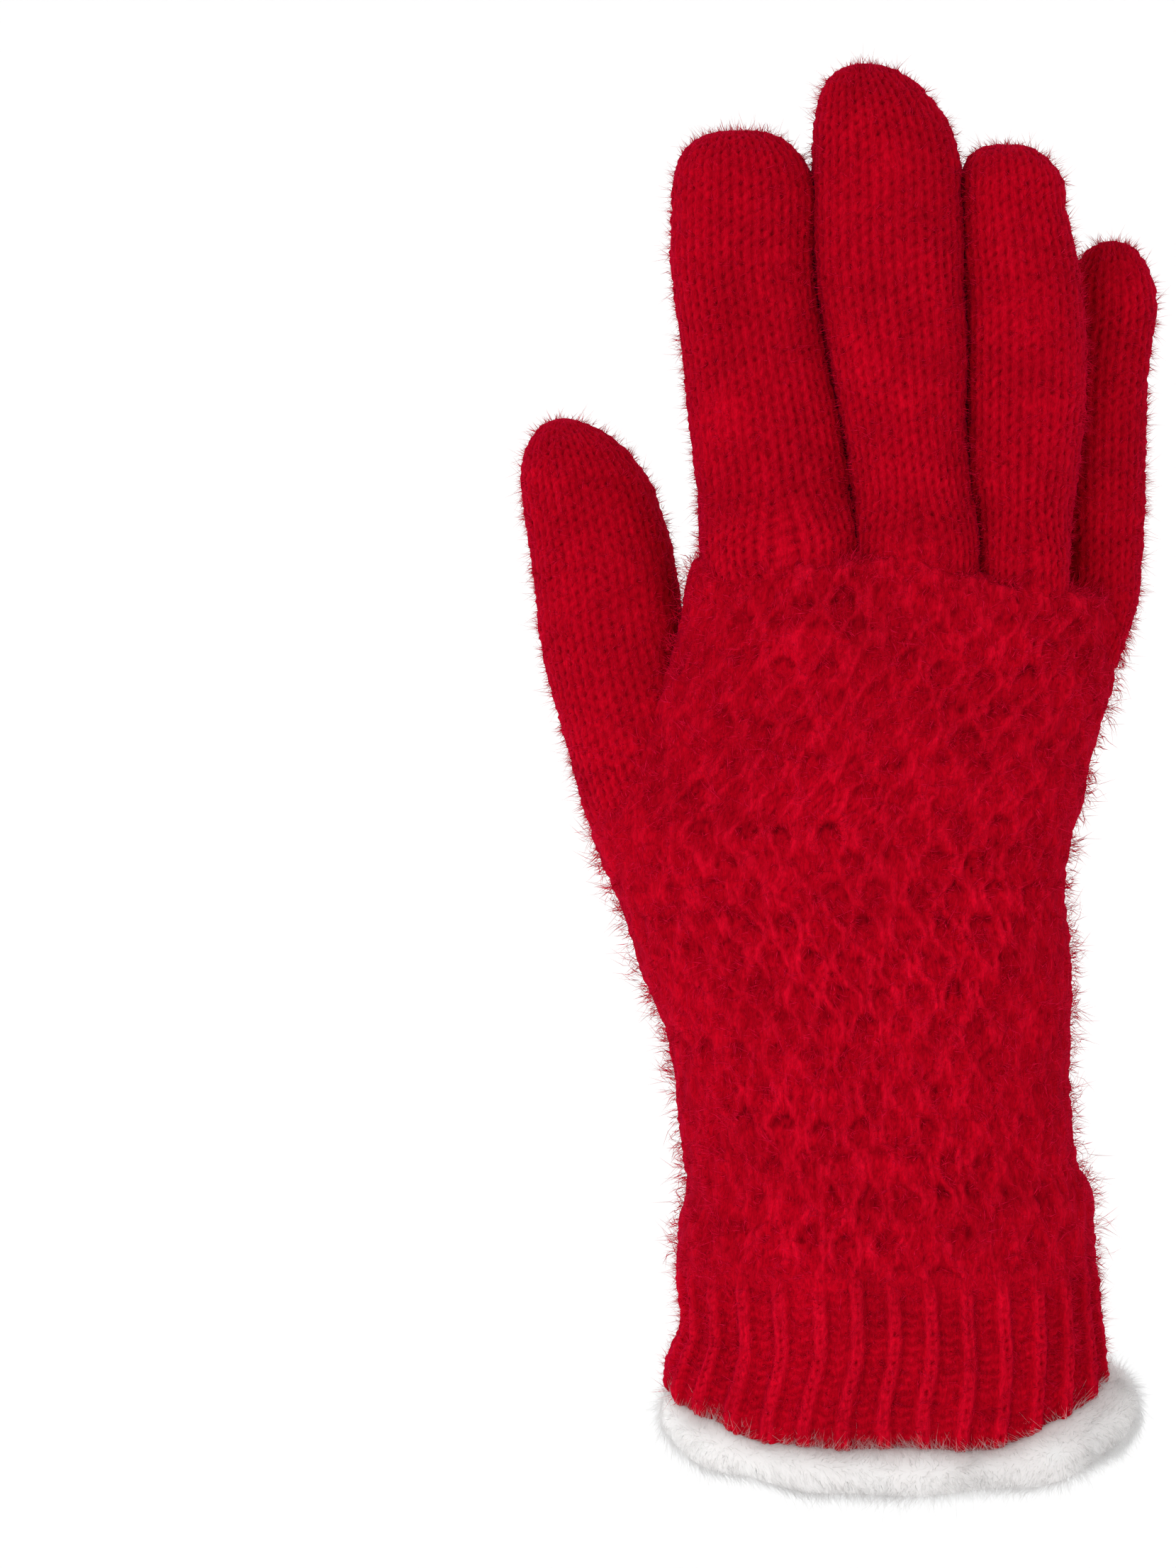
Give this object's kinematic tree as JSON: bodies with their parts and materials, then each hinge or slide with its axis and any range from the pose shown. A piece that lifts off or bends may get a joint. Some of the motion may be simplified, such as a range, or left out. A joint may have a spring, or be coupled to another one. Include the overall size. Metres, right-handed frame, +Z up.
{
  "type": "knit glove",
  "caption": "Fuzzy knitted right-hand glove with a honeycomb back, a ribbed cuff and a soft fur trim round the wrist opening.",
  "frame": {"origin": "middle of the wrist opening, at the height of the hem's front edge", "axes": "+Z runs up the arm's line to the fingertips, -Y is the back of the hand, -X is the thumb's side"},
  "size_m": [0.123, 0.0645, 0.2699],
  "materials": {
    "red_knit": "brushed knit with a long soft pile",
    "white_fur": "short dense plush fur"
  },
  "bodies": {
    "root": {"hand_tube": "red_knit", "index_finger": "red_knit", "middle_finger": "red_knit", "ring_finger": "red_knit", "little_finger": "red_knit", "thumb": "red_knit", "rib_cuff": "red_knit", "fur_trim": "white_fur"}
  },
  "joints": []
}
